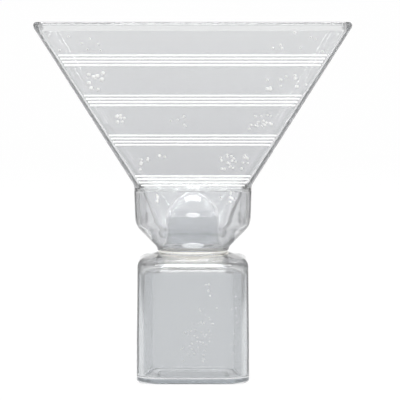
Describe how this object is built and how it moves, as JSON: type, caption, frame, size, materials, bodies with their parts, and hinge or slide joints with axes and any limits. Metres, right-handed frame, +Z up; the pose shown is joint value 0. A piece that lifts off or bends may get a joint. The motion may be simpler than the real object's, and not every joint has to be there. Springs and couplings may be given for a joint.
{
  "type": "dropping funnel",
  "caption": "Square ribbed glass funnel whose spout reaches into a collar, over a hollow bell plug that drops liquid into a square bottle below.",
  "frame": {"origin": "middle of the receiver's bearing face, under the funnel's axis", "axes": "+Z up along the funnel's axis; +Y from front to back, the ribs being on the hopper's front wall; +X to the right as seen from the front"},
  "size_m": [0.1388, 0.1388, 0.1632],
  "materials": {
    "hopper_glass": "clear, fire-polished",
    "collar_glass": "clear, fire-polished",
    "plug_glass": "clear, fire-polished",
    "receiver_glass": "clear, fire-polished",
    "clear_seal": "clear silicone",
    "seat_plastic": "smooth",
    "gasket_rubber": "translucent silicone"
  },
  "bodies": {
    "receiver": {"receiver": "receiver_glass"},
    "gasket": {"neck_gasket": "gasket_rubber"},
    "collar": {"collar": "collar_glass", "seat_ring": "seat_plastic", "hopper_seal": "clear_seal"},
    "hopper": {"hopper": "hopper_glass"},
    "plug": {"plug_barrel": "plug_glass", "plug_tip": "plug_glass"}
  },
  "joints": [
    {"name": "collar_lift", "type": "slide", "parent": "receiver", "child": "gasket", "axis": [0, 0, 1], "range_m": [0, 0.02]},
    {"name": "collar_turn", "type": "hinge", "parent": "gasket", "child": "collar", "pos_m": [0, 0, 0.0568], "axis": [0, 0, 1], "continuous": true},
    {"name": "hopper_lift", "type": "slide", "parent": "collar", "child": "hopper", "axis": [0, 0, 1], "range_m": [0, 0.045]},
    {"name": "plug_lift", "type": "slide", "parent": "collar", "child": "plug", "axis": [0, 0, 1], "range_m": [0, 0.0025]}
  ]
}
